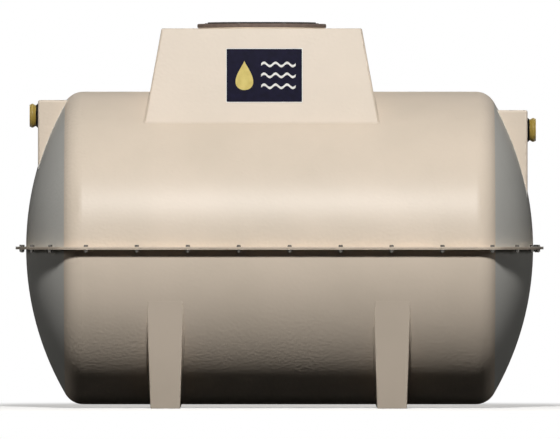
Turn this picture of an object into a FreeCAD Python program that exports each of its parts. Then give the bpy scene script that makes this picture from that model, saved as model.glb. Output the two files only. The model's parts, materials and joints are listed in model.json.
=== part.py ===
import FreeCAD, Part
import math
import os

# Packaged sewage treatment plant: a glass-fibre tank, moulded in two halves that bolt together at a
# flange. It lies along X, with its inlet end at -X and its outlet end at +X. The front faces -Y and
# +Z is up. The origin is on the ground, under the middle of the tank. All sizes are in millimetres.

# Tank body
body_diameter = 1640.0  # outside of the barrel
body_length = 2660.0  # over both dished ends
dish_radius = 1525.0  # outside crown radius of the dished ends
knuckle_radius = 110.0  # outside, between dish and barrel
wall = 7.0  # glass-fibre laminate
belly_clearance = 17.0  # underside of the barrel above the ground

# Bolted flange round the middle
flange_width = 55.0  # how far it stands out from the body
flange_thickness = 6.0
gasket_thickness = 2.0
gasket_setback = 3.0  # from the edge of the flange

# Access turret
turret_length = 1047.0  # along X, at the top
turret_depth = 814.0  # along Y, at the top
turret_rise = 328.0  # top above the crown of the barrel
turret_offset = -93.5  # centre of the turret along X
turret_draft = 10.25  # degrees, all four sides
turret_inside_radius = 4.0  # inside the slanted corners
turret_edge_radius = 9.0  # outside, round the top

# Access cover on the turret
manway_diameter = 560.0
upstand_width = 54.0  # flat ring round the manway
upstand_height = 8.0
frame_overhang = 4.0  # frame outside its upstand
frame_height = 19.0
frame_edge_radius = 6.0
lid_bearing = 12.5  # lid resting on the frame, all round
lid_clearance = 2.0  # between the rim of the lid and its frame
lid_seat_depth = 12.0  # rebate in the frame
lid_rise = 3.0  # lid above its frame
lug_height = 5.0
lug_width = 12.0
lug_length = 46.0
lug_gap = 14.0
lug_ring_step = 30.0  # from one ring of lugs to the next
lug_border = 9.0  # plain rim outside the last ring

# Boxes moulded on the ends for the drain connections
box_width = 320.0  # at the top
box_draft = 2.0  # degrees, on the two cheeks
box_inside_radius = 4.0
box_lip = 40.0  # end wall left standing under the roof of a box
inlet_box_setback = 64.0  # face of the box behind the crown of the dish
inlet_box_drop = 45.0  # top of the box below the crown of the barrel
inlet_pipe_drop = 81.0  # pipe axis below the top of the box
outlet_box_setback = 31.0
outlet_box_drop = 98.0
outlet_pipe_drop = 103.0

# Drain pipe that ends in a ring-seal socket
pipe_diameter = 110.0
pipe_wall = 3.2
pipe_inside = 80.0  # length of pipe behind the face of the box
socket_reach = 45.0  # mouth of the socket in front of the face of the box
socket_depth = 25.0
socket_clearance = 0.4  # round a pipe in the socket
socket_taper = 6.0  # where the pipe widens, behind the bottom of the socket
bulge_setback = 14.0  # middle of the bulge behind the mouth
bulge_width = 16.0
bulge_wall = 7.6  # from the bore to the top of the bulge
shoulder_wall = 4.6  # at each side of the bulge
mouth_wall = 3.2
mouth_land = 4.0  # straight lip at the mouth

# Rubber seal where the pipe passes through the box
seal_thickness = 4.0  # between the pipe and the edge of its hole
seal_lip_height = 4.0  # lip over the edge of the hole
seal_lip_width = 7.0  # on each side of the wall
seal_chamfer = 2.5

# Saddle feet across the belly
saddle_spacing = 1183.0  # between the two centres
saddle_offset = -5.0  # middle of the pair along X
saddle_foot_width = 155.0  # at the ground
saddle_root_width = 195.0  # where the face leaves the barrel
saddle_face_angle = 18.5  # degrees below the horizontal where the face leaves the barrel
saddle_corner_radius = 6.0
saddle_sole_radius = 5.0
saddle_feather_edge = 1.5  # thickness left at the top edge of the face

# Places that follow from the sizes
body_radius = body_diameter / 2
axis_height = belly_clearance + body_radius
crown_height = axis_height + body_radius
dish_centre = body_length / 2 - dish_radius
knuckle_ring = body_radius - knuckle_radius
barrel_half_length = dish_centre + math.sqrt((dish_radius - knuckle_radius) ** 2 - knuckle_ring**2)
knuckle_start = math.atan2(knuckle_ring, barrel_half_length - dish_centre)
turret_top = crown_height + turret_rise
upstand_top = turret_top + upstand_height
frame_top = upstand_top + frame_height
lid_seat = frame_top - lid_seat_depth
lid_radius = manway_diameter / 2 + lid_bearing
pipe_radius = pipe_diameter / 2
seal_hole_radius = pipe_radius + seal_thickness

Vector = FreeCAD.Vector
axis_x = Vector(1, 0, 0)
axis_y = Vector(0, 1, 0)
axis_z = Vector(0, 0, 1)
tank_axis = Vector(0, 0, axis_height)
turret_axis = Vector(turret_offset, 0, 0)
same_place = 0.01  # two points closer than this are one
beyond = 10.0  # how far a cutting tool runs past the face it opens


def line(start, end):
    return Part.LineSegment(start, end).toShape()


def arc(points, place):
    return Part.Arc(*[place(*point) for point in points]).toShape()


def arc_points(centre_x, centre_r, radius, start, end):
    """First, middle and last point of an arc in the tank's profile, as (x, distance from the axis)."""
    angles = (start, (start + end) / 2, end)
    return [(centre_x + radius * math.cos(a), centre_r + radius * math.sin(a)) for a in angles]


def dish_arc(inset):
    """Dished end from its crown to the knuckle, inset from the outside surface."""
    return arc_points(dish_centre, 0, dish_radius - inset, 0, knuckle_start)


def knuckle_arc(inset):
    """Rounded turn from the dished end to the barrel, inset from the outside surface."""
    return arc_points(barrel_half_length, knuckle_ring, knuckle_radius - inset, knuckle_start, math.pi / 2)


def box_between(low, high):
    return Part.makeBox(high[0] - low[0], high[1] - low[1], high[2] - low[2], Vector(*low))


def half_shell(outside, inside, direction, upper):
    """Wall between two lines of the profile, revolved over the crown or under the belly to the gasket."""

    def place(x, r):
        return Vector(direction * x, r, axis_height)

    def profile(points):
        return arc(points, place) if len(points) > 2 else line(place(*points[0]), place(*points[1]))

    ends = [line(place(*outside[0]), place(*inside[0])), line(place(*outside[-1]), place(*inside[-1]))]
    edges = Part.__sortEdges__([profile(outside), profile(inside)] + ends)
    shell = Part.Face(Part.Wire(edges)).revolve(tank_axis, axis_x if upper else -axis_x, 180)
    low = (-body_length, -body_diameter, axis_height - gasket_thickness / 2)
    high = (body_length, body_diameter, axis_height + gasket_thickness / 2)
    return shell.cut(box_between(low, high))


def tank_shells():
    """Barrel, knuckles and dished ends of both mouldings."""
    ends_x = (-barrel_half_length, barrel_half_length)
    barrel = [[(x, body_radius - inset) for x in ends_x] for inset in (0, wall)]
    nodes = {}
    for half, upper in (("upper", True), ("lower", False)):
        nodes[f"{half}_barrel"] = half_shell(*barrel, 1, upper)
        for end, direction in (("inlet", -1), ("outlet", 1)):
            nodes[f"{half}_{end}_knuckle"] = half_shell(knuckle_arc(0), knuckle_arc(wall), direction, upper)
            nodes[f"{half}_{end}_dish"] = half_shell(dish_arc(0), dish_arc(wall), direction, upper)
    return nodes


def tank_body():
    """The whole tank as one solid, to its outside surface."""

    def place(x, r):
        return Vector(x, r, axis_height)

    def mirrored(points):
        return [(-x, r) for x, r in points]

    edges = [line(place(-barrel_half_length, body_radius), place(barrel_half_length, body_radius))]
    edges.append(line(place(-body_length / 2, 0), place(body_length / 2, 0)))
    for points in (dish_arc(0), knuckle_arc(0)):
        edges.append(arc(points, place))
        edges.append(arc(mirrored(points), place))
    section = Part.Face(Part.Wire(Part.__sortEdges__(edges)))
    return section.revolve(tank_axis, axis_x, 360)


body = tank_body()


def plan_outline(inset, z):
    """Outline of the tank at the flange, inset from the outside surface."""
    knuckle = knuckle_arc(inset)
    crown, tip = dish_arc(inset)[::2]
    side = body_radius - inset
    edges = []
    for turn in (1, -1):

        def place(x, y):
            return Vector(turn * x, turn * y, z)

        edges.append(arc([(x, -y) for x, y in knuckle], place))
        edges.append(arc([(tip[0], -tip[1]), crown, tip], place))
        edges.append(arc(knuckle, place))
        edges.append(line(place(barrel_half_length, side), place(-barrel_half_length, side)))
    return Part.Wire(Part.__sortEdges__(edges))


def flat_ring(outer_inset, inner_inset, low_z, thickness):
    """Flat plate between two outlines of the tank."""
    outer = Part.Face(plan_outline(outer_inset, low_z))
    inner = Part.Face(plan_outline(inner_inset, low_z))
    return outer.cut(inner).extrude(axis_z * thickness)


def tapered_box(low, high):
    """Solid with flat drafted sides. low and high are (x0, x1, y0, y1, z) of its bottom and top."""

    def corners(x0, x1, y0, y1, z):
        return [Vector(x0, y0, z), Vector(x1, y0, z), Vector(x1, y1, z), Vector(x0, y1, z)]

    bottom = corners(*low)
    top = corners(*high)
    loops = [bottom[::-1], top]
    for i in range(4):
        j = (i + 1) % 4
        loops.append([bottom[i], bottom[j], top[j], top[i]])
    faces = [Part.Face(Part.makePolygon(loop + loop[:1])) for loop in loops]
    return Part.makeSolid(Part.makeShell(faces))


def edges_at(shape, height):
    """Edges that lie level at one height."""
    return [e for e in shape.Edges if all(abs(v.Z - height) < same_place for v in e.Vertexes)]


def rising_edges(shape):
    """Edges that join the bottom of a tapered box to its top."""
    return [e for e in shape.Edges if abs(e.Vertexes[0].Z - e.Vertexes[-1].Z) > same_place]


def flange_pieces():
    """Gasket, and the flange of each moulding as two straight sides and two curved ends."""
    far_x = body_length / 2 + flange_width
    far_y = body_radius + flange_width
    levels = {
        "upper": axis_height + gasket_thickness / 2,
        "lower": axis_height - gasket_thickness / 2 - flange_thickness,
    }
    gasket_low = axis_height - gasket_thickness / 2
    gasket = flat_ring(gasket_setback - flange_width, wall, gasket_low, gasket_thickness)
    nodes = {"flange_gasket": gasket}
    for half, low_z in levels.items():
        high_z = low_z + flange_thickness
        ring = flat_ring(-flange_width, 0, low_z, flange_thickness)
        spans = {
            "front": ((-barrel_half_length, -far_y, low_z), (barrel_half_length, 0, high_z)),
            "back": ((-barrel_half_length, 0, low_z), (barrel_half_length, far_y, high_z)),
            "inlet": ((-far_x, -far_y, low_z), (-barrel_half_length, far_y, high_z)),
            "outlet": ((barrel_half_length, -far_y, low_z), (far_x, far_y, high_z)),
        }
        for name, span in spans.items():
            nodes[f"{half}_flange_{name}"] = ring.common(box_between(*span))
    return nodes


def turret_block(inset):
    """Drafted block of the turret, inset from its outside surface, down to the axis of the tank."""
    draft = math.radians(turret_draft)
    top_z = turret_top - inset
    narrowing = inset / math.cos(draft) - inset * math.tan(draft)
    spread = (top_z - axis_height) * math.tan(draft)

    def level(growth, z):
        half_x = turret_length / 2 - narrowing + growth
        half_y = turret_depth / 2 - narrowing + growth
        return turret_offset - half_x, turret_offset + half_x, -half_y, half_y, z

    block = tapered_box(level(spread, axis_height), level(0, top_z))
    return block.makeFillet(turret_inside_radius + wall - inset, rising_edges(block))


def turret_pieces():
    """Walls and top of the turret, as a shell that stands on the upper barrel."""
    block = turret_block(0)
    block = block.makeFillet(turret_edge_radius, edges_at(block, turret_top))
    manway = Part.makeCylinder(manway_diameter / 2, wall + 2 * beyond, turret_axis)
    manway.translate(axis_z * (turret_top - wall - beyond))
    shell = block.cut(turret_block(wall)).cut(body).cut(manway)
    joint_z = turret_top - wall - turret_edge_radius
    above = box_between((-body_length, -body_length, joint_z), (body_length, body_length, upstand_top))
    return {"turret_walls": shell.cut(above), "turret_top": shell.common(above)}


def disc(radius, low_z, high_z):
    """Round plate on the axis of the manway."""
    return Part.makeCylinder(radius, high_z - low_z, turret_axis + axis_z * low_z)


def lid_lugs(low_z):
    """Rings of curved anti-slip lugs, with as many in a ring as its length takes."""
    lugs = []
    radius = lid_radius - lug_border - lug_width
    while radius > lug_length / 2:
        count = int(2 * math.pi * radius / (lug_length + lug_gap))
        pitch = 360 / count
        sweep = pitch * lug_length / (lug_length + lug_gap)
        section = Part.makePlane(lug_width, lug_height, Vector(radius, 0, low_z), -axis_y, axis_x)
        for i in range(count):
            lug = section.revolve(Vector(), axis_z, sweep)
            lug.rotate(Vector(), axis_z, pitch * i)
            lug.translate(turret_axis)
            lugs.append(lug)
        radius -= lug_ring_step
    return lugs


def access_cover():
    """Upstand on the turret, the frame on it, and the lid in the frame."""
    manway_radius = manway_diameter / 2
    upstand_radius = manway_radius + upstand_width
    opening = disc(manway_radius, turret_top, frame_top)
    frame = disc(upstand_radius + frame_overhang, upstand_top, frame_top)
    frame = frame.makeFillet(frame_edge_radius, [e for e in edges_at(frame, frame_top) if e.Closed])
    rebate = disc(lid_radius + lid_clearance, lid_seat, frame_top)
    lid_top = frame_top + lid_rise
    return {
        "manway_upstand": disc(upstand_radius, turret_top, upstand_top).cut(opening),
        "cover_frame": frame.cut(opening).cut(rebate),
        "cover_lid": disc(lid_radius, lid_seat, lid_top).multiFuse(lid_lugs(lid_top)).removeSplitter(),
    }


def box_block(inset, direction, setback, drop):
    """Solid of an end box, inset from its outside surface, reaching back into the dished end."""
    face_x = direction * (body_length / 2 - setback - inset)
    back_x = direction * barrel_half_length
    x0, x1 = sorted((face_x, back_x))
    top_z = crown_height - drop - inset
    half_y = box_width / 2 - inset
    foot_half_y = half_y + (top_z - axis_height) * math.tan(math.radians(box_draft))
    block = tapered_box((x0, x1, -foot_half_y, foot_half_y, axis_height), (x0, x1, -half_y, half_y, top_z))

    def rounded(edge):
        ends = [v.Point for v in edge.Vertexes]
        on_face = all(abs(p.x - face_x) < same_place for p in ends)
        on_top = all(abs(p.z - top_z) < same_place for p in ends)
        on_cheek = abs(ends[0].y - ends[-1].y) < same_place or abs(ends[0].z - ends[-1].z) > same_place
        return (on_face and (on_top or on_cheek)) or (on_top and on_cheek)

    return block.makeFillet(box_inside_radius + wall - inset, [e for e in block.Edges if rounded(e)])


def turned(section_of, direction, setback, z):
    """Solid turned about a pipe's axis. The section is in (distance in front of the box face, radius)."""

    def place(reach, radius):
        return Vector(direction * (body_length / 2 - setback + reach), 0, z + radius)

    section = Part.Face(Part.Wire(section_of(place)))
    return section.revolve(Vector(0, 0, z), axis_x, 360)


def pipe_section(place):
    """Plain pipe that widens into its socket, with a bulge where the ring seal sits."""
    bore = pipe_radius + socket_clearance
    inside = pipe_radius - pipe_wall
    stop = socket_reach - socket_depth
    bulge = socket_reach - bulge_setback
    rise = (bulge - bulge_width / 2, bore + shoulder_wall)
    fall = (bulge + bulge_width / 2, bore + shoulder_wall)
    rim = bore + mouth_wall
    corners = [
        (socket_reach - mouth_land, rim),
        (socket_reach, rim),
        (socket_reach, bore),
        (stop, bore),
        (stop, inside),
        (-pipe_inside, inside),
        (-pipe_inside, pipe_radius),
        (stop - socket_taper, pipe_radius),
    ]
    points = [place(*fall)] + [place(*corner) for corner in corners] + [place(*rise)]
    edges = [arc([rise, (bulge, bore + bulge_wall), fall], place)]
    for start, end in zip(points, points[1:]):
        edges.append(line(start, end))
    return edges


def seal_section(place):
    """Rubber ring that grips the wall of the box between two lips."""
    lip = seal_hole_radius + seal_lip_height
    front = [
        (0, seal_hole_radius),
        (0, lip),
        (seal_lip_width - seal_chamfer, lip),
        (seal_lip_width, lip - seal_chamfer),
        (seal_lip_width, pipe_radius),
    ]
    back = [(-wall - reach, radius) for reach, radius in reversed(front)]
    points = [place(*corner) for corner in front + back]
    return Part.makePolygon(points + points[:1]).Edges


def drain_end(end, direction, setback, box_drop, pipe_drop):
    """Box, pipe and seal of one end, and the opening from the box into the tank."""
    pipe_z = crown_height - box_drop - pipe_drop
    space = box_block(wall, direction, setback, box_drop)
    hole = Part.makeCylinder(seal_hole_radius, wall + 2 * beyond, Vector(), axis_x * direction)
    hole.translate(Vector(direction * (body_length / 2 - setback - wall - beyond), 0, pipe_z))
    nodes = {
        f"{end}_box": box_block(0, direction, setback, box_drop).cut(space).cut(body).cut(hole),
        f"{end}_socket": turned(pipe_section, direction, setback, pipe_z),
        f"{end}_seal": turned(seal_section, direction, setback, pipe_z),
    }
    return nodes, box_block(wall, direction, setback, box_drop + box_lip)


def saddle_block(inset, centre_x):
    """Drafted block of a saddle, whose front and back faces leave the barrel as tangents."""
    angle = math.radians(saddle_face_angle)
    root_z = axis_height - body_radius * math.sin(angle)
    run = math.sqrt(2 * body_radius * saddle_feather_edge)
    top_z = root_z - run * math.cos(angle)
    top_half_y = body_radius * math.cos(angle) - run * math.sin(angle)
    side_slope = (saddle_root_width - saddle_foot_width) / 2 / root_z

    def level(z):
        half_x = saddle_foot_width / 2 + side_slope * z - inset / math.cos(math.atan(side_slope))
        half_y = top_half_y - (top_z - z) * math.tan(angle) - inset / math.cos(angle)
        return centre_x - half_x, centre_x + half_x, -half_y, half_y, z

    return tapered_box(level(inset), level(top_z))


def saddle(centre_x):
    block = saddle_block(0, centre_x)
    block = block.makeFillet(saddle_corner_radius, rising_edges(block))
    block = block.makeFillet(saddle_sole_radius, edges_at(block, 0))
    return block.cut(saddle_block(wall, centre_x)).cut(body)


def build():
    nodes = tank_shells()
    nodes["upper_barrel"] = nodes["upper_barrel"].cut(turret_block(wall))
    ends = {
        "inlet": (-1, inlet_box_setback, inlet_box_drop, inlet_pipe_drop),
        "outlet": (1, outlet_box_setback, outlet_box_drop, outlet_pipe_drop),
    }
    for end, sizes in ends.items():
        pieces, opening = drain_end(end, *sizes)
        nodes.update(pieces)
        nodes[f"upper_{end}_dish"] = nodes[f"upper_{end}_dish"].cut(opening)
    nodes.update(flange_pieces())
    nodes.update(turret_pieces())
    nodes.update(access_cover())
    nodes["inlet_saddle"] = saddle(saddle_offset - saddle_spacing / 2)
    nodes["outlet_saddle"] = saddle(saddle_offset + saddle_spacing / 2)
    return nodes


os.makedirs("parts", exist_ok=True)
for name, shape in build().items():
    solid = shape if len(shape.Solids) != 1 else shape.Solids[0]
    solid.exportStep(f"parts/{name}.step")
    print(f"{name}: {len(shape.Solids)} solid, valid {solid.isValid()}, {solid.Volume / 1e6:.3f} litres")
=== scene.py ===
import json
import math

import bmesh
import bpy
from mathutils import Matrix, Vector


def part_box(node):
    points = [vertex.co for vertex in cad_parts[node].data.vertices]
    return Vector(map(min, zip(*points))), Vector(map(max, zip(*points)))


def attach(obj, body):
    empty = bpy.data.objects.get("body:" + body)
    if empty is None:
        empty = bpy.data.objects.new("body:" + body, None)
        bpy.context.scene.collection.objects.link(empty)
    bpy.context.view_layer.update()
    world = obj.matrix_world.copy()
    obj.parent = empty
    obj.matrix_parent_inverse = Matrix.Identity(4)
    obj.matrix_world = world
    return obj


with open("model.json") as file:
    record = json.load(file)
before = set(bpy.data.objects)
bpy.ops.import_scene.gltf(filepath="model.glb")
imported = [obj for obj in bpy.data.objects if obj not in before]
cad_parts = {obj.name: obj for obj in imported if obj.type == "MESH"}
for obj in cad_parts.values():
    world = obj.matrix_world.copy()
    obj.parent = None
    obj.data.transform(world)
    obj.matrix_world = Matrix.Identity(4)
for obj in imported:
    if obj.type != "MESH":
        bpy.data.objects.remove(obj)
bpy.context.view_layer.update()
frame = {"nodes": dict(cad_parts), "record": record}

mm = 0.001
scene = bpy.context.scene
cad = frame["nodes"]


def low(node):
    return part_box(node)[0]


def high(node):
    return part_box(node)[1]


# tank: places that the pieces are measured from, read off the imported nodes
axisZ = (low("flange_gasket").z + high("flange_gasket").z) / 2
barrelRadius = high("lower_barrel").y
barrelHalf = high("lower_barrel").x  # half length of the straight barrel
dishJoinX = high("lower_outlet_knuckle").x  # where the knuckle hands over to the dish
dishJoinR = high("lower_outlet_dish").y
dishCrownX = high("lower_outlet_dish").x
dishDepth = dishCrownX - dishJoinX
dishRadius = (dishDepth ** 2 + dishJoinR ** 2) / (2 * dishDepth)
dishMiddleX = dishCrownX - dishRadius  # middle of the outlet end's sphere, the inlet end mirrors it
knuckleStart = math.asin(dishJoinR / dishRadius)
knuckleRadius = (dishJoinX - barrelHalf) / math.cos(knuckleStart)
knuckleRing = barrelRadius - knuckleRadius
flangeTop = high("upper_flange_front").z
flangeBottom = low("lower_flange_front").z
flangeWidth = high("upper_flange_back").y - barrelRadius

# turret: its four walls lean in by the same draft
turretTopZ = high("turret_top").z
turretMidX = (low("turret_top").x + high("turret_top").x) / 2
turretFootY = high("turret_walls").y
turretFootZ = axisZ + math.sqrt(barrelRadius ** 2 - turretFootY ** 2)
turretLean = (turretFootY - high("turret_top").y) / (low("turret_top").z - turretFootZ)
turretHalfY = high("turret_top").y - turretLean * (turretTopZ - low("turret_top").z)
turretHalfX = turretHalfY + (high("turret_top").x - low("turret_top").x) / 2 - high("turret_top").y
turretAngle = math.atan(turretLean)
print("frame read:", len(cad), "CAD nodes, turret leans", round(math.degrees(turretAngle), 2), "degrees")


def linear(hexText):
    # sRGB hex to the linear colour that a shader socket takes
    values = [int(hexText[i:i + 2], 16) / 255 for i in (1, 3, 5)]
    return [v / 12.92 if v <= 0.04045 else ((v + 0.055) / 1.055) ** 2.4 for v in values] + [1.0]


def grey(value):
    return (value, value, value, 1.0)


def addNode(tree, kind, settings=None, links=None):
    made = tree.nodes.new("ShaderNode" + kind)
    for key, value in (settings or {}).items():
        if key == "stops":  # a ramp's two stops, as pairs of place and hex colour or grey number
            for stop, (position, colour) in zip(made.color_ramp.elements, value):
                stop.position = position
                stop.color = linear(colour) if isinstance(colour, str) else grey(colour)
        elif isinstance(key, int) or key in made.inputs:
            made.inputs[key].default_value = value
        else:
            setattr(made, key, value)
    for key, source in (links or {}).items():
        tree.links.new(source.outputs[0] if hasattr(source, "outputs") else source, made.inputs[key])
    return made


def startMaterial(name):
    material = bpy.data.materials.new(name)
    material.use_nodes = True
    tree = material.node_tree
    tree.nodes.clear()
    place = addNode(tree, "TexCoord").outputs["Object"]
    return material, tree, place


def finishMaterial(tree, settings, links):
    shader = addNode(tree, "BsdfPrincipled", settings, links)
    addNode(tree, "OutputMaterial", {}, {"Surface": shader})


# Gelcoat on glass-fibre laminate, moulded: an even tint with slow clouds, a crinkle where the glass prints
# through that shows in grazing light, and a soft broad highlight on the smooth resin over it
gelcoatLook = {
    "cloud": 420 * mm,  # slow change of tint over a moulding
    "cloudRange": (0.3, 0.7),  # noise values that take the dark and the light tint
    "crinkle": 15 * mm,  # folds of the print-through, drawn coarser than the real strands so that they show
    "crinkleStretch": (0.85, 1.0, 1.0),  # a fold is a little longer along the tank
    "crinkleHeight": 1.2 * mm,
    "patch": 240 * mm,  # the print-through comes and goes over this length
    "patchStops": [(0.35, 0.55), (0.65, 1.0)],  # how strongly it shows outside and inside a patch
    "bellyHeights": (330 * mm, 560 * mm),  # laid up thicker below these, so more glass prints through
    "sag": 45 * mm,  # slow waves in the resin
    "sagHeight": 0.25 * mm,
    "coatIor": 1.7,  # polyester has about 1.54, this keeps the highlight of a weak coat with less rim glare
}


def gelcoat(name, dark, light, coat, coatRoughness, onBelly, above):
    look = gelcoatLook
    material, tree, place = startMaterial(name)
    cloud = addNode(tree, "TexNoise", {"Scale": 1 / look["cloud"], "Detail": 4.0}, {"Vector": place})
    tint = addNode(tree, "ValToRGB", {"stops": zip(look["cloudRange"], (dark, light))}, {"Fac": cloud})
    along = addNode(tree, "Mapping", {"Scale": look["crinkleStretch"]}, {"Vector": place})
    crinkle = addNode(tree, "TexNoise", {"Scale": 1 / look["crinkle"], "Detail": 0.0}, {"Vector": along})
    patch = addNode(tree, "TexNoise", {"Scale": 1 / look["patch"], "Detail": 1.0}, {"Vector": place})
    patchy = addNode(tree, "ValToRGB", {"stops": look["patchStops"]}, {"Fac": patch})
    height = addNode(tree, "SeparateXYZ", {}, {"Vector": place}).outputs["Z"]
    bellyEnd, plainStart = look["bellyHeights"]
    thick = addNode(tree, "MapRange", {"From Min": bellyEnd, "From Max": plainStart, "To Min": onBelly,
                                       "To Max": above}, {"Value": height})
    shows = addNode(tree, "Math", {"operation": "MULTIPLY"}, {0: patchy, 1: thick})
    glass = addNode(tree, "Bump", {"Distance": look["crinkleHeight"]}, {"Height": crinkle, "Strength": shows})
    sag = addNode(tree, "TexNoise", {"Scale": 1 / look["sag"], "Detail": 1.0}, {"Vector": place})
    resin = addNode(tree, "Bump", {"Distance": look["sagHeight"]}, {"Height": sag})
    finishMaterial(tree, {"Roughness": 0.8, "Specular IOR Level": 0.0, "Coat Weight": coat,
                          "Coat Roughness": coatRoughness, "Coat IOR": look["coatIor"]},
                   {"Base Color": tint, "Normal": glass, "Coat Normal": resin})
    return material


# EPDM rubber, moulded or extruded: matt, with a faint bloom in clouds
rubberLook = {
    "bloom": 9 * mm,
    "bloomRange": (0.35, 0.75),  # noise values that are bare and bloomed
    "roughness": [(0.3, 0.65), (0.7, 0.8)],
}


def epdmRubber(name, bare, bloomed):
    look = rubberLook
    material, tree, place = startMaterial(name)
    bloom = addNode(tree, "TexNoise", {"Scale": 1 / look["bloom"], "Detail": 3.0}, {"Vector": place})
    tint = addNode(tree, "ValToRGB", {"stops": zip(look["bloomRange"], (bare, bloomed))}, {"Fac": bloom})
    rough = addNode(tree, "ValToRGB", {"stops": look["roughness"]}, {"Fac": bloom})
    finishMaterial(tree, {"IOR": 1.5, "Specular IOR Level": 0.1}, {"Base Color": tint, "Roughness": rough})
    return material


# PVC-U drain pipe, extruded: ochre and satin, with faint draw lines round the socket
pvcLook = {
    "cloud": 60 * mm,
    "tint": [(0.3, "#9b8233"), (0.7, "#af9647")],
    "line": 1.6 * mm,  # pitch of the lines, drawn coarser than real hair lines so that they show
    "lineStretch": (1.0, 0.05, 0.05),  # short along the pipe and long round it
    "lineDepth": 0.05 * mm,
    "roughness": [(0.3, 0.46), (0.7, 0.58)],
}


def pvcPipe(name):
    look = pvcLook
    material, tree, place = startMaterial(name)
    cloud = addNode(tree, "TexNoise", {"Scale": 1 / look["cloud"], "Detail": 3.0}, {"Vector": place})
    tint = addNode(tree, "ValToRGB", {"stops": look["tint"]}, {"Fac": cloud})
    along = addNode(tree, "Mapping", {"Scale": look["lineStretch"]}, {"Vector": place})
    lines = addNode(tree, "TexNoise", {"Scale": 1 / look["line"], "Detail": 2.0}, {"Vector": along})
    gloss = addNode(tree, "ValToRGB", {"stops": look["roughness"]}, {"Fac": lines})
    drawn = addNode(tree, "Bump", {"Strength": 0.6, "Distance": look["lineDepth"]}, {"Height": lines})
    finishMaterial(tree, {"IOR": 1.53}, {"Base Color": tint, "Roughness": gloss, "Normal": drawn})
    return material


# Polypropylene, injection moulded with a spark-eroded grain: matt, with scuffs that go pale
plasticLook = {
    "scuff": 35 * mm,
    "scuffRange": (0.35, 0.72),  # noise values that are plain and scuffed
    "grain": 1.4 * mm,  # drawn coarser than the real 0.2 mm, so that it shows
    "grainDepth": 0.12 * mm,
    "roughness": [(0.3, 0.75), (0.7, 0.88)],
}


def polypropylene(name, plain, scuffed):
    look = plasticLook
    material, tree, place = startMaterial(name)
    scuff = addNode(tree, "TexNoise", {"Scale": 1 / look["scuff"], "Detail": 5.0, "Roughness": 0.65},
                    {"Vector": place})
    tint = addNode(tree, "ValToRGB", {"stops": zip(look["scuffRange"], (plain, scuffed))}, {"Fac": scuff})
    grain = addNode(tree, "TexNoise", {"Scale": 1 / look["grain"], "Detail": 2.0}, {"Vector": place})
    gloss = addNode(tree, "ValToRGB", {"stops": look["roughness"]}, {"Fac": grain})
    eroded = addNode(tree, "Bump", {"Strength": 0.7, "Distance": look["grainDepth"]}, {"Height": grain})
    finishMaterial(tree, {"IOR": 1.49, "Specular IOR Level": 0.2},
                   {"Base Color": tint, "Roughness": gloss, "Normal": eroded})
    return material


# Zinc-plated steel, cold forged: grey metal under a patchy dull film
zincLook = {
    "film": 5 * mm,  # size of a patch
    "tint": [(0.35, "#565450"), (0.7, "#7c7a75")],
    "roughness": [(0.3, 0.34), (0.7, 0.52)],
}


def zincSteel(name):
    look = zincLook
    material, tree, place = startMaterial(name)
    film = addNode(tree, "TexNoise", {"Scale": 1 / look["film"], "Detail": 3.0}, {"Vector": place})
    tint = addNode(tree, "ValToRGB", {"stops": look["tint"]}, {"Fac": film})
    gloss = addNode(tree, "ValToRGB", {"stops": look["roughness"]}, {"Fac": film})
    finishMaterial(tree, {"Metallic": 1.0}, {"Base Color": tint, "Roughness": gloss})
    return material


# Vinyl film, screen printed: flat deep ink under a smooth film, a little chalky where it has weathered
vinylLook = {
    "chalk": 30 * mm,
    "chalkRange": (0.3, 0.75),  # noise values that are fresh and weathered
    "ripple": 4 * mm,  # in the film over the plate
    "rippleHeight": 0.03 * mm,
}


def printedVinyl(name, ink, weathered):
    look = vinylLook
    material, tree, place = startMaterial(name)
    chalk = addNode(tree, "TexNoise", {"Scale": 1 / look["chalk"], "Detail": 4.0}, {"Vector": place})
    tint = addNode(tree, "ValToRGB", {"stops": zip(look["chalkRange"], (ink, weathered))}, {"Fac": chalk})
    ripple = addNode(tree, "TexNoise", {"Scale": 1 / look["ripple"], "Detail": 1.0}, {"Vector": place})
    film = addNode(tree, "Bump", {"Strength": 0.4, "Distance": look["rippleHeight"]}, {"Height": ripple})
    finishMaterial(tree, {"IOR": 1.5, "Roughness": 0.1, "Specular IOR Level": 0.1},
                   {"Base Color": tint, "Normal": film})
    return material


# coat is the weight of the resin's shine, the last two say how strongly the glass prints through
beigeGelcoat = gelcoat("Gelcoat on GRP, moulded beige", "#dccdba", "#e4d4c1",
                       coat=0.28, coatRoughness=0.39, onBelly=1.0, above=1.0)
dullGelcoat = gelcoat("Gelcoat on GRP, moulded beige and dulled", "#dccdba", "#e4d4c1",
                      coat=0.08, coatRoughness=0.6, onBelly=1.0, above=0.3)
flatGelcoat = gelcoat("Gelcoat on GRP, moulded flat and dulled", "#dccdba", "#e4d4c1",
                      coat=0.08, coatRoughness=0.6, onBelly=0.08, above=0.08)
greyGelcoat = gelcoat("Gelcoat on GRP, moulded grey", "#d1cfc8", "#dad8d1",
                      coat=0.06, coatRoughness=0.7, onBelly=0.6, above=0.6)
blackRubber = epdmRubber("EPDM rubber, moulded black", "#050505", "#0d0c0c")
paleRubber = epdmRubber("EPDM rubber, extruded pale", "#a99b8a", "#b7aa99")
ochrePvc = pvcPipe("PVC-U drain pipe, extruded")
taupePlastic = polypropylene("Polypropylene, moulded taupe", "#6c5d55", "#7d6e65")
charcoalPlastic = polypropylene("Polypropylene, moulded charcoal", "#171412", "#28231f")
boltSteel = zincSteel("Zinc-plated steel, forged")
navyVinyl = printedVinyl("Vinyl film, printed navy", "#110f24", "#181630")
whiteVinyl = printedVinyl("Vinyl film, printed white", "#f2f0ec", "#e6e3dd")
goldVinyl = printedVinyl("Vinyl film, printed gold", "#e3d081", "#d2bd6c")
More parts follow.
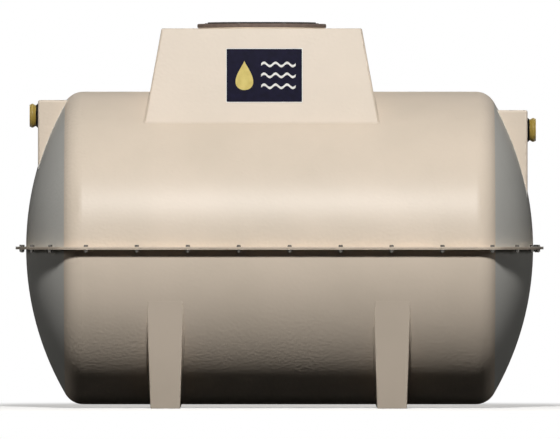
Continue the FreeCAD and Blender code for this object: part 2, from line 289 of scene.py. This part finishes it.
slotFinish = {
    "gelcoat": beigeGelcoat,
    "end_gelcoat": greyGelcoat,
    "gasket_rubber": paleRubber,
    "seal_rubber": blackRubber,
    "frame_plastic": taupePlastic,
    "lid_plastic": charcoalPlastic,
    "drain_plastic": ochrePvc,
}
for subpart in frame["record"]["subparts"]:
    finish = slotFinish[subpart["material_slot"]]
    if subpart["node"].endswith("saddle"):  # smooth faces off a flat tool, with hardly any print-through
        finish = flatGelcoat
    elif finish is beigeGelcoat and subpart["node"].startswith("lower_"):  # splashed, so dull
        finish = dullGelcoat
    mesh = cad[subpart["node"]].data
    mesh.materials.clear()
    mesh.materials.append(finish)
print("materials made:", len(bpy.data.materials))


def makePiece(name, mesh, materials, smooth=False):
    bmesh.ops.remove_doubles(mesh, verts=mesh.verts, dist=1e-7)
    bmesh.ops.recalc_face_normals(mesh, faces=mesh.faces)
    for face in mesh.faces:
        face.smooth = smooth and len(face.verts) == 4  # end caps stay flat
    data = bpy.data.meshes.new(name)
    mesh.to_mesh(data)
    mesh.free()
    piece = bpy.data.objects.new(name, data)
    scene.collection.objects.link(piece)
    for material in materials:
        data.materials.append(material)
    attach(piece, "root")
    print("made", name, len(data.polygons), "faces")


def lathe(mesh, place, profile, count, turn=0.0):
    # closed outline of (radius, height) swung round the Z axis of place
    rings = []
    for i in range(count):
        a = turn + 2 * math.pi * i / count
        points = [Vector((r * math.cos(a), r * math.sin(a), z)) for r, z in profile]
        rings.append([mesh.verts.new(place @ point) for point in points])
    for i in range(count):
        here, there = rings[i - 1], rings[i]
        for j in range(len(profile)):
            k = (j + 1) % len(profile)
            if profile[j][0] > 0 or profile[k][0] > 0:
                mesh.faces.new((here[j], there[j], there[k], here[k]))


def prism(mesh, place, outline, bottom, top, finish):
    # flat plate with the given outline, between two heights of place
    under = [mesh.verts.new(place @ Vector((x, y, bottom))) for x, y in outline]
    over = [mesh.verts.new(place @ Vector((x, y, top))) for x, y in outline]
    faces = [mesh.faces.new(under[::-1]), mesh.faces.new(over)]
    for i in range(len(outline)):
        faces.append(mesh.faces.new((under[i - 1], under[i], over[i], over[i - 1])))
    for face in faces:
        face.material_index = finish


def sweep(mesh, sections, closed):
    # skin over a row of outlines, joined end to end or capped
    rings = [[mesh.verts.new(point) for point in section] for section in sections]
    for i in range(0 if closed else 1, len(rings)):
        here, there = rings[i - 1], rings[i]
        for j in range(len(here)):
            mesh.faces.new((here[j - 1], here[j], there[j], there[j - 1]))
    if not closed:
        mesh.faces.new(rings[0])
        mesh.faces.new(rings[-1][::-1])


def roundedOutline(halfX, halfY, radius, steps):
    # rounded rectangle, anticlockwise, as (x, y, direction of its normal)
    points = []
    for quarter in range(4):
        signX = (1, -1, -1, 1)[quarter]
        signY = (1, 1, -1, -1)[quarter]
        for i in range(steps + 1):
            a = (quarter + i / steps) * math.pi / 2
            points.append((signX * (halfX - radius) + radius * math.cos(a),
                           signY * (halfY - radius) + radius * math.sin(a), a))
    return points


# flange bolts: M12 set screws at an even pitch along the middle of the flange, all the way round
boltSet = {
    "count": 30,
    "startX": -1008 * mm,  # one bolt on the front run, the rest follow from it
    "threadRadius": 6 * mm,
    "threadEnd": 4 * mm,  # thread that shows past the nut
    "threadSink": 0.5 * mm,  # and starts this far inside it
    "threadSides": 16,
    "halfFlats": 9.5 * mm,
    "headHeight": 7.5 * mm,
    "nutHeight": 10 * mm,
    "chamfer": 1.2 * mm,
    "washerRadius": 12 * mm,
    "washerHeight": 2.5 * mm,
    "washerEdge": 0.5 * mm,
    "washerSides": 24,
    "turnStep": 0.9,  # radians, each head stops at another angle
    "nutTurn": 0.4,  # from the head to its nut
}
hexSides = 6


def flangeLine(distance):
    # point along the middle of the flange, from the middle of the front run towards +X, and the whole lap
    out = flangeWidth / 2
    side = barrelRadius + out
    smallArc = knuckleRadius + out
    bigArc = dishRadius + out
    knuckle = smallArc * (math.pi / 2 - knuckleStart)
    runs = [barrelHalf, knuckle, 2 * bigArc * knuckleStart, knuckle, barrelHalf]
    lap = 2 * sum(runs)
    d = distance % lap
    sign = 1
    if d >= lap / 2:  # the other half is this one turned half round
        d -= lap / 2
        sign = -1
    run = 0
    while run < 4 and d >= runs[run]:
        d -= runs[run]
        run += 1
    if run == 0:  # front
        x, y = d, -side
    elif run == 4:  # back
        x, y = barrelHalf - d, side
    elif run == 2:  # round the dish
        a = d / bigArc - knuckleStart
        x, y = dishMiddleX + bigArc * math.cos(a), bigArc * math.sin(a)
    else:  # round a knuckle, the front one as run 1 or the back one as run 3
        a = d / smallArc + (-math.pi / 2 if run == 1 else knuckleStart)
        x, y = barrelHalf + smallArc * math.cos(a), (run - 2) * knuckleRing + smallArc * math.sin(a)
    return Vector((sign * x, sign * y, 0)), lap


def hexagon(base, height, halfFlats, chamfer):
    r = halfFlats / math.cos(math.pi / hexSides)
    return [(0, base), (r - chamfer, base), (r, base + chamfer / 2), (r, base + height - chamfer / 2),
            (r - chamfer, base + height), (0, base + height)]


def flangeBolts():
    bolt = boltSet
    lap = flangeLine(0)[1]
    base = bolt["washerHeight"]
    rim = bolt["washerRadius"]
    edge = bolt["washerEdge"]
    shank = bolt["threadRadius"]
    chamfer = bolt["chamfer"]
    washer = [(shank, 0), (rim, 0), (rim, base - edge), (rim - edge, base), (shank, base)]
    head = hexagon(base, bolt["headHeight"], bolt["halfFlats"], chamfer)
    nut = hexagon(base, bolt["nutHeight"], bolt["halfFlats"], chamfer)
    start = base + bolt["nutHeight"] - bolt["threadSink"]
    tip = base + bolt["nutHeight"] + bolt["threadEnd"]
    thread = [(0, start), (shank, start), (shank, tip - chamfer), (shank - chamfer, tip), (0, tip)]
    mesh = bmesh.new()
    for i in range(bolt["count"]):
        spot = flangeLine(bolt["startX"] + lap * i / bolt["count"])[0]
        above = Matrix.Translation(spot + Vector((0, 0, flangeTop)))
        below = Matrix.Translation(spot + Vector((0, 0, flangeBottom))) @ Matrix.Rotation(math.pi, 4, "X")
        turn = bolt["turnStep"] * i
        lathe(mesh, above, washer, bolt["washerSides"])
        lathe(mesh, above, head, hexSides, turn)
        lathe(mesh, below, washer, bolt["washerSides"])
        lathe(mesh, below, nut, hexSides, turn + bolt["nutTurn"])
        lathe(mesh, below, thread, bolt["threadSides"])
    makePiece("flange_bolts", mesh, [boltSteel])


flangeBolts()

# roots: small concave fillets of laminate where the turret, boxes and saddles leave the tank
rootFillet = {
    "bury": 2 * mm,  # how far the hidden corner lies inside the laminate
    "steps": 6,
}


def filletSection(corner, upWall, alongBase, reach, settle):
    # one cut through a fillet, settle lays its lower end on the curved base
    steps = rootFillet["steps"]
    start = corner + upWall * reach
    end = settle(corner + alongBase * reach)
    points = []
    for i in range(steps + 1):
        t = i / steps
        points.append(start * (1 - t) ** 2 + corner * (2 * t * (1 - t)) + end * t ** 2)
    points.append(corner - (upWall + alongBase).normalized() * rootFillet["bury"])
    return points


def onBarrel(point):
    out = Vector((0, point.y, point.z - axisZ)).normalized() * barrelRadius
    return Vector((point.x, out.y, axisZ + out.z))


def alongSurface(direction, normal):
    return (direction - normal * direction.dot(normal)).normalized()


turretFillet = {
    "reach": 6 * mm,
    "corner": 11 * mm,  # radius of the turret's slanted corners
    "cornerSteps": 8,
    "cut": 25 * mm,  # straight sides are cut up about as finely as this
    "rounds": 30,  # of closing in on the barrel
}


def turretRoot():
    fillet = turretFillet
    plan = roundedOutline(turretHalfX, turretHalfY, fillet["corner"], fillet["cornerSteps"])
    outline = []
    for i in range(len(plan)):  # cut up, since the barrel curves under the straight sides
        x0, y0, a = plan[i - 1]
        x1, y1, _ = plan[i]
        pieces = max(1, int(math.hypot(x1 - x0, y1 - y0) / fillet["cut"]))
        for j in range(pieces):
            t = j / pieces
            outline.append((x0 + (x1 - x0) * t, y0 + (y1 - y0) * t, a))
    sections = []
    for x, y, a in outline:
        out = Vector((math.cos(a), math.sin(a), 0))
        growX = turretLean if x > 0 else -turretLean
        growY = turretLean if y > 0 else -turretLean
        z = turretFootZ
        for i in range(fillet["rounds"]):  # the wall spreads as it comes down, until it meets the barrel
            drop = turretTopZ - z
            px, py = x + growX * drop, y + growY * drop
            z = axisZ + math.sqrt(barrelRadius ** 2 - py ** 2)
        corner = Vector((turretMidX + px, py, z))
        upWall = Vector((-out.x * turretLean, -out.y * turretLean, 1)).normalized()
        along = alongSurface(out, Vector((0, py, z - axisZ)) / barrelRadius)
        sections.append(filletSection(corner, upWall, along, fillet["reach"], onBarrel))
    mesh = bmesh.new()
    sweep(mesh, sections, closed=True)
    makePiece("turret_root", mesh, [beigeGelcoat], smooth=True)


boxFillet = {
    "reach": 6 * mm,
    "leastReach": 0.5 * mm,
    "roomShare": 0.7,  # of what the box stands out, where that is too little for the full reach
    "corner": 11 * mm,
    "cornerSteps": 6,
    "cheekDraft": 2.0,  # degrees
    "cheekSteps": 24,
    "topSteps": 8,  # over half the width
}


def boxRoot(end, sign):
    fillet = boxFillet
    node = end + "_box"
    r = fillet["corner"]
    top, foot = high(node).z, low(node).z
    front = abs(high(node).x if sign > 0 else low(node).x)
    slope = math.tan(math.radians(fillet["cheekDraft"]))
    half = high(node).y - slope * (top - foot)
    outline = []
    for i in range(fillet["cheekSteps"] + 1):  # up one cheek
        z = foot + (top - r - foot) * i / fillet["cheekSteps"]
        outline.append((half + slope * (top - z), z, 0.0))
    for i in range(1, fillet["cornerSteps"] + 1):  # round the corner
        a = i / fillet["cornerSteps"] * math.pi / 2
        outline.append((half - r + r * math.cos(a), top - r + r * math.sin(a), a))
    for i in range(1, fillet["topSteps"] + 1):  # to the middle of the top
        outline.append((half * (1 - i / fillet["topSteps"]), top, math.pi / 2))
    outline += [(-y, z, math.pi - a) for y, z, a in outline[-2::-1]]
    middle = Vector((sign * dishMiddleX, 0, axisZ))

    def onDish(point):
        return middle + (point - middle).normalized() * dishRadius

    sections = []
    for y, z, a in outline:
        x = dishMiddleX + math.sqrt(dishRadius ** 2 - y ** 2 - (z - axisZ) ** 2)
        corner = Vector((sign * x, y, z))
        out = Vector((0, math.cos(a), math.sin(a)))
        along = alongSurface(out, (corner - middle) / dishRadius)
        room = max(fillet["leastReach"], (front - x) * fillet["roomShare"])
        reach = min(fillet["reach"], room)
        sections.append(filletSection(corner, Vector((sign, 0, 0)), along, reach, onDish))
    mesh = bmesh.new()
    sweep(mesh, sections, closed=False)
    makePiece(end + "_box_root", mesh, [greyGelcoat], smooth=True)


saddleFillet = {
    "reach": 12 * mm,
    "depthShare": 0.6,  # of the saddle's depth, where that is too little for the full reach
    "footWidth": 155 * mm,
    "steps": 60,
    "taperSteps": 6,  # over these the fillet runs out at each end
    "thinnest": 0.05 * mm,
}
saddleFeather = {  # carries each face of a saddle on upwards until it dies out on the barrel
    "start": 1.5 * mm,  # what the saddle's face stands proud at its top
    "end": 0.2 * mm,
    "side": 6 * mm,  # over this each side slopes down into the barrel
    "rows": (0.0, 0.01, 0.99, 1.0),  # close rows keep the shading of its ends off its face
}


def saddleRoots(end):
    fillet = saddleFillet
    feather = saddleFeather
    node = end + "_saddle"
    middleX = (low(node).x + high(node).x) / 2
    topZ = high(node).z
    footHalf = fillet["footWidth"] / 2
    slope = ((high(node).x - low(node).x) / 2 - footHalf) / topZ
    start = math.asin((axisZ - topZ) / barrelRadius)
    faceAngle = start - math.acos(barrelRadius / (barrelRadius + feather["start"]))
    mesh = bmesh.new()
    for side in (-1, 1):
        sections = []
        for i in range(fillet["steps"] + 1):
            a = start + (math.pi - 2 * start) * i / fillet["steps"]
            out = Vector((0, -math.cos(a), -math.sin(a)))
            corner = Vector((0, 0, axisZ)) + out * barrelRadius
            corner.x = middleX + side * (footHalf + slope * corner.z)
            lean = min(a, math.pi - a)
            depth = min(barrelRadius / math.cos(lean - faceAngle), axisZ / math.sin(lean)) - barrelRadius
            taper = min(1.0, i / fillet["taperSteps"], (fillet["steps"] - i) / fillet["taperSteps"])
            reach = taper * min(fillet["reach"], fillet["depthShare"] * depth)
            reach = max(fillet["thinnest"], reach)
            sections.append(filletSection(corner, out, Vector((side, 0, 0)), reach, onBarrel))
        sweep(mesh, sections, closed=False)
    endAngle = faceAngle + math.acos(barrelRadius / (barrelRadius + feather["end"]))
    for facing in (-1, 1):
        sections = []
        for row in feather["rows"]:
            a = start + (endAngle - start) * row
            depth = barrelRadius / math.cos(a - faceAngle) - barrelRadius
            out = Vector((0, facing * math.cos(a), -math.sin(a)))
            half = footHalf + slope * (axisZ - barrelRadius * math.sin(a))
            edge = feather["side"]
            across = (-half, edge - half, 2 * edge - half, half - 2 * edge, half - edge, half)
            rise = (-rootFillet["bury"], depth, depth, depth, depth, -rootFillet["bury"])
            foot = Vector((middleX, 0, axisZ)) + out * barrelRadius
            sections.append([foot + Vector((x, 0, 0)) + out * r for x, r in zip(across, rise)])
        sweep(mesh, sections, closed=False)
    makePiece(end + "_saddle_root", mesh, [flatGelcoat], smooth=True)


turretRoot()
boxRoot("inlet", -1)
boxRoot("outlet", 1)
saddleRoots("inlet")
saddleRoots("outlet")

# label: a printed film plate on the front of the turret, with a plain drop and water lines
labelPlate = {
    "width": 401 * mm,
    "height": 289 * mm,
    "middleX": -80 * mm,
    "middleZ": 1739 * mm,
    "border": 4 * mm,
    "corner": 5 * mm,
    "inkCorner": 3 * mm,  # of the printed ground inside the border
    "cornerSteps": 4,
    "thickness": 1.0 * mm,  # of the white plate
    "ink": 0.25 * mm,  # each printed layer stands this far proud of the one below
    "dropX": -104 * mm,
    "dropHalfHeight": 78 * mm,
    "dropHalfWidth": 66 * mm,
    "dropPoint": 1.5,  # more makes the top sharper
    "dropSteps": 48,
    "waveX": (-16 * mm, 164 * mm),
    "waveRows": (58 * mm, 0.0, -58 * mm),
    "wavePeriod": 60 * mm,
    "waveRise": 9 * mm,
    "waveThickness": 13 * mm,
    "waveSteps": 72,
}


def turretLabel():
    plate = labelPlate
    prints = [whiteVinyl, navyVinyl, goldVinyl]
    white, navy, gold = range(len(prints))
    faceY = -(turretHalfY + turretLean * (turretTopZ - plate["middleZ"]))
    place = (Matrix.Translation((plate["middleX"], faceY, plate["middleZ"]))
             @ Matrix.Rotation(math.pi / 2 - turretAngle, 4, "X"))
    plateTop = plate["thickness"]
    groundTop = plateTop + plate["ink"]
    signTop = plateTop + 2 * plate["ink"]
    halfX, halfY, border = plate["width"] / 2, plate["height"] / 2, plate["border"]
    mesh = bmesh.new()
    outline = roundedOutline(halfX, halfY, plate["corner"], plate["cornerSteps"])
    prism(mesh, place, [(x, y) for x, y, a in outline], 0.0, plateTop, white)
    outline = roundedOutline(halfX - border, halfY - border, plate["inkCorner"], plate["cornerSteps"])
    prism(mesh, place, [(x, y) for x, y, a in outline], plateTop, groundTop, navy)
    drop = []
    for i in range(plate["dropSteps"]):
        t = 2 * math.pi * i / plate["dropSteps"]
        halfWidth = plate["dropHalfWidth"] * abs(math.sin(t / 2)) ** plate["dropPoint"]
        drop.append((plate["dropX"] - halfWidth * math.sin(t), plate["dropHalfHeight"] * math.cos(t)))
    prism(mesh, place, drop, groundTop, signTop, gold)
    first, last = plate["waveX"]
    half = plate["waveThickness"] / 2
    for row in plate["waveRows"]:
        crest = []
        for i in range(plate["waveSteps"] + 1):
            x = first + (last - first) * i / plate["waveSteps"]
            swing = math.sin(2 * math.pi * (x - first) / plate["wavePeriod"])
            crest.append((x, row + plate["waveRise"] * swing))
        outline = [(x, y - half) for x, y in crest] + [(x, y + half) for x, y in reversed(crest)]
        prism(mesh, place, outline, groundTop, signTop, white)
    makePiece("turret_label", mesh, prints)


turretLabel()

# frame screws: low socket heads round the cover frame
frameScrew = {
    "count": 8,
    "ring": 315 * mm,
    "radius": 7 * mm,
    "height": 3 * mm,
    "shoulder": 0.4,  # share of the height below the rounding
    "crown": 0.75,  # share of the radius inside it
    "socketRadius": 3 * mm,
    "socketDepth": 2 * mm,
    "sink": 1 * mm,  # into the frame
    "turnStep": 0.3,  # radians
    "sides": 24,
}


def coverScrews():
    screw = frameScrew
    middle = Vector((turretMidX, 0, high("cover_frame").z))
    radius, top, socket = screw["radius"], screw["height"], screw["socketRadius"]
    socketFloor = top - screw["socketDepth"]
    profile = [(0, -screw["sink"]), (radius, -screw["sink"]), (radius, top * screw["shoulder"]),
               (radius * screw["crown"], top), (socket, top), (socket, socketFloor), (0, socketFloor)]
    mesh = bmesh.new()
    for i in range(screw["count"]):
        a = 2 * math.pi * (i + 0.5) / screw["count"]
        spot = middle + Vector((math.cos(a), math.sin(a), 0)) * screw["ring"]
        lathe(mesh, Matrix.Translation(spot), profile, screw["sides"], screw["turnStep"] * i)
    makePiece("frame_screws", mesh, [boltSteel])


# key pockets: two slots with a raised rim, for the keys that lift the lid
keyPocket = {
    "ring": 262.5 * mm,  # between two rings of lugs
    "half": (21 * mm, 7 * mm),
    "corner": 5 * mm,
    "slotHalf": (13 * mm, 2.5 * mm),
    "slotCorner": 2 * mm,
    "cornerSteps": 6,
    "height": 2.5 * mm,
    "sink": 1 * mm,  # into the lid
    "lidRise": 3 * mm,  # of the lid's face over the frame
}


def keyPockets():
    pocket = keyPocket
    lidTop = high("cover_frame").z + pocket["lidRise"]
    outer = roundedOutline(*pocket["half"], pocket["corner"], pocket["cornerSteps"])
    inner = roundedOutline(*pocket["slotHalf"], pocket["slotCorner"], pocket["cornerSteps"])
    bottom, top = -pocket["sink"], pocket["height"]
    mesh = bmesh.new()
    for a in (math.pi / 2, math.pi * 3 / 2):  # behind and in front
        spot = Vector((turretMidX + math.cos(a) * pocket["ring"], math.sin(a) * pocket["ring"], lidTop))
        place = Matrix.Translation(spot) @ Matrix.Rotation(a - math.pi / 2, 4, "Z")
        rim = []
        for (x0, y0, _), (x1, y1, _) in zip(outer, inner):
            section = [(x0, y0, bottom), (x0, y0, top), (x1, y1, top), (x1, y1, bottom)]
            rim.append([place @ Vector(point) for point in section])
        sweep(mesh, rim, closed=True)
    makePiece("lid_key_pockets", mesh, [charcoalPlastic])


coverScrews()
keyPockets()

# ring seals: the rubber lip inside each socket
ringSeal = {
    "setback": 14 * mm,  # behind the mouth
    "halfWidth": 5 * mm,
    "shoulder": 0.8 * mm,  # how far its sides stand into the bore
    "lip": 2.6 * mm,  # and how far its lip does
    "lipHalfWidth": 1 * mm,
    "sink": 0.6 * mm,  # into the wall of the bore
    "boreRadius": 55.4 * mm,
    "sides": 64,
}


def ringSeals():
    seal = ringSeal
    back = seal["boreRadius"] + seal["sink"]
    shoulder = seal["boreRadius"] - seal["shoulder"]
    lip = seal["boreRadius"] - seal["lip"]
    half, lipHalf = seal["halfWidth"], seal["lipHalfWidth"]
    profile = [(back, -half), (shoulder, -half), (lip, -lipHalf),
               (lip, lipHalf), (shoulder, half), (back, half)]
    mesh = bmesh.new()
    for end, sign in (("inlet", -1), ("outlet", 1)):
        node = end + "_socket"
        mouth = low(node).x if sign < 0 else high(node).x
        spot = Vector((mouth - sign * seal["setback"], 0, (low(node).z + high(node).z) / 2))
        place = Matrix.Translation(spot) @ Matrix.Rotation(math.pi / 2, 4, "Y")
        lathe(mesh, place, profile, seal["sides"])
    makePiece("socket_ring_seals", mesh, [blackRubber], smooth=True)


# wall collars: what the wall seal folds over the pipe
wallCollar = {
    "reach": 5 * mm,  # in front of the wall seal
    "footRadius": 60 * mm,
    "footRound": (1.6 * mm, 1.2 * mm),  # in from the foot's radius, and up
    "tipRadius": 56.6 * mm,
    "tipRound": (0.6 * mm, 0.8 * mm),  # in from the tip's radius, and down
    "pipeRadius": 55 * mm,
    "bury": 0.4 * mm,  # into the pipe and the seal, so no light gets between
    "sides": 64,
}


def wallCollars():
    collar = wallCollar
    inside = collar["pipeRadius"] - collar["bury"]
    foot, tip, reach = collar["footRadius"], collar["tipRadius"], collar["reach"]
    footIn, footUp = collar["footRound"]
    tipIn, tipDown = collar["tipRound"]
    profile = [(inside, -collar["bury"]), (foot, -collar["bury"]), (foot - footIn, footUp),
               (tip, reach - tipDown), (tip - tipIn, reach), (inside, reach)]
    mesh = bmesh.new()
    for end, sign in (("inlet", -1), ("outlet", 1)):
        node = end + "_seal"
        face = low(node).x if sign < 0 else high(node).x
        spot = Vector((face, 0, (low(node).z + high(node).z) / 2))
        place = Matrix.Translation(spot) @ Matrix.Rotation(sign * math.pi / 2, 4, "Y")
        lathe(mesh, place, profile, collar["sides"])
    makePiece("wall_collars", mesh, [blackRubber], smooth=True)


ringSeals()
wallCollars()

# camera: far off with a long lens and level, as flat a view as the photograph's
view = {
    "imageWidth": 560,
    "imageHeight": 439,
    "mmPerPixel": 5.246,
    "tankMiddle": (279.6, 247.97),  # pixel of the tank's axis and mid-length
    "lens": 1300.0,
    "sensor": 36.0,
    "clipEnd": 3,  # times the distance to the tank
}
metresPerPixel = view["mmPerPixel"] * mm
distance = view["imageWidth"] * metresPerPixel * view["lens"] / view["sensor"]
lens = bpy.data.cameras.new("camera")
lens.lens = view["lens"]
lens.sensor_width = view["sensor"]
lens.clip_end = distance * view["clipEnd"]
camera = bpy.data.objects.new("camera", lens)
scene.collection.objects.link(camera)
camera.location = ((view["imageWidth"] / 2 - view["tankMiddle"][0]) * metresPerPixel, -distance,
                   axisZ + (view["tankMiddle"][1] - view["imageHeight"] / 2) * metresPerPixel)
camera.rotation_euler = (math.pi / 2, 0, 0)
scene.camera = camera

# light: a frontal softbox, weaker ones behind and at the sides that leave no highlight, a little all round
studio = {
    "key": {"azimuth": 0, "elevation": 33, "distance": 14, "size": 1.3, "level": 0.83, "gloss": True},
    "back": {"azimuth": 180, "elevation": 6, "distance": 30, "size": 8, "level": 0.55, "gloss": False},
    "left": {"azimuth": -90, "elevation": 15, "distance": 30, "size": 8, "level": 0.07, "gloss": False},
    "right": {"azimuth": 90, "elevation": 15, "distance": 30, "size": 8, "level": 0.07, "gloss": False},
}
allRound = 0.006


def softbox(name):
    box = studio[name]
    aim = Vector((0, 0, axisZ))
    a, e = math.radians(box["azimuth"]), math.radians(box["elevation"])
    toward = Vector((math.sin(a) * math.cos(e), -math.cos(a) * math.cos(e), math.sin(e)))
    spot = aim + toward * box["distance"]
    lamp = bpy.data.lights.new(name, "AREA")
    lamp.shape = "SQUARE"
    lamp.size = box["size"]
    # watts that light the tank to that share of full brightness
    lamp.energy = box["level"] * math.pi ** 2 * box["distance"] ** 2
    made = bpy.data.objects.new(name, lamp)
    scene.collection.objects.link(made)
    made.location = spot
    made.rotation_euler = (aim - spot).to_track_quat("-Z", "Y").to_euler()
    made.visible_camera = False
    made.visible_glossy = box["gloss"]


for name in studio:
    softbox(name)


def seenRays(tree):
    # 1 for rays that look at the background: from the camera, or off gloss and through glass
    path = addNode(tree, "LightPath").outputs
    adding = {"operation": "ADD", "use_clamp": True}
    pair = addNode(tree, "Math", adding, {0: path["Is Camera Ray"], 1: path["Is Glossy Ray"]})
    return addNode(tree, "Math", adding, {0: pair, 1: path["Is Transmission Ray"]})


world = bpy.data.worlds.new("studio")
scene.world = world
world.use_nodes = True
tree = world.node_tree
tree.nodes.clear()
dim = addNode(tree, "Background", {"Color": grey(1.0), "Strength": allRound})
white = addNode(tree, "Background", {"Color": grey(1.0), "Strength": 1.0})
shown = addNode(tree, "MixShader", {}, {0: seenRays(tree), 1: dim, 2: white})
addNode(tree, "OutputWorld", {}, {"Surface": shown})

# floor: plain and pale, keeps the shadow near the tank and fades into the white background
floorLook = {
    "size": 60.0,
    "cells": 8,
    "fadeFrom": 1.7,  # metres from the middle
    "fadeTo": 3.6,
    "pale": "#f2f0ec",
    "lift": 0.4,  # glow that the eye and gloss see
    "bounce": 0.02,  # what it throws back at the tank
}
floorMesh = bmesh.new()
bmesh.ops.create_grid(floorMesh, x_segments=floorLook["cells"], y_segments=floorLook["cells"],
                      size=floorLook["size"] / 2)
floorData = bpy.data.meshes.new("floor")
floorMesh.to_mesh(floorData)
floorMesh.free()
floor = bpy.data.objects.new("floor", floorData)
scene.collection.objects.link(floor)
floorFinish, tree, place = startMaterial("Studio floor, painted pale")
away = addNode(tree, "VectorMath", {"operation": "LENGTH"}, {0: place}).outputs["Value"]
fade = addNode(tree, "MapRange", {"interpolation_type": "SMOOTHSTEP", "From Min": floorLook["fadeFrom"],
                                  "From Max": floorLook["fadeTo"]}, {"Value": away})
paint = addNode(tree, "BsdfDiffuse", {"Color": linear(floorLook["pale"])})
glow = addNode(tree, "Emission", {"Color": grey(1.0), "Strength": floorLook["lift"]})
near = addNode(tree, "AddShader", {}, {0: paint, 1: glow})
far = addNode(tree, "Emission", {"Color": grey(1.0), "Strength": 1.0})
shown = addNode(tree, "MixShader", {}, {0: fade, 1: near, 2: far})
quiet = addNode(tree, "BsdfDiffuse", {"Color": grey(floorLook["bounce"])})
surface = addNode(tree, "MixShader", {}, {0: seenRays(tree), 1: quiet, 2: shown})
addNode(tree, "OutputMaterial", {}, {"Surface": surface})
floorData.materials.append(floorFinish)

scene.view_settings.view_transform = "Standard"
print("camera, light and floor set")
